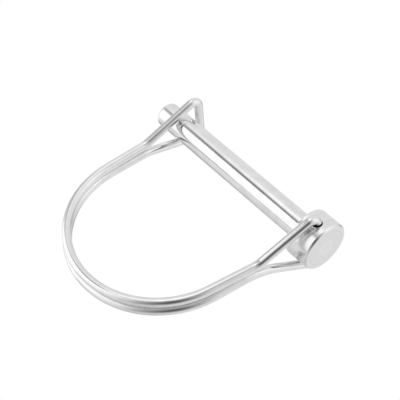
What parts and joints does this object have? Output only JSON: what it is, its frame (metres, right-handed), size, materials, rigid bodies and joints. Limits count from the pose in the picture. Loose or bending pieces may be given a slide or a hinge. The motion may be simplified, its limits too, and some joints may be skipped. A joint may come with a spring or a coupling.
{
  "type": "hitch pin lock",
  "caption": "Headed steel hitch pin with a sprung round wire bail that swings on the head and snaps its loop over the shank's tip end.",
  "frame": {"origin": "centre of the head's shoulder, on the shank's axis", "axes": "+X along the shank from the shoulder to the tip, +Y from the shank towards the crown of the closed bail, +Z normal to the closed bail's plane"},
  "size_m": [0.0715, 0.0663, 0.0222],
  "materials": {
    "pin_plating": "bright plated steel with faint turning marks",
    "spring_wire": "bright plated spring wire"
  },
  "bodies": {
    "pin": {"pin": "pin_plating"},
    "bail": {"wire_upper": "spring_wire", "wire_lower": "spring_wire"},
    "bail_tip": {"wire_loop": "spring_wire"}
  },
  "joints": [
    {"name": "bail_swing", "type": "hinge", "parent": "pin", "child": "bail", "pos_m": [-0.0041, 0, 0], "axis": [0, 0, 1], "range_deg": [0, 180]},
    {"name": "bail_flex", "type": "hinge", "parent": "bail", "child": "bail_tip", "pos_m": [0.05633, 0.03899, 0], "axis": [0, 0, 1], "range_deg": [0, 15], "stiffness_Nm_per_rad": 0.2}
  ]
}
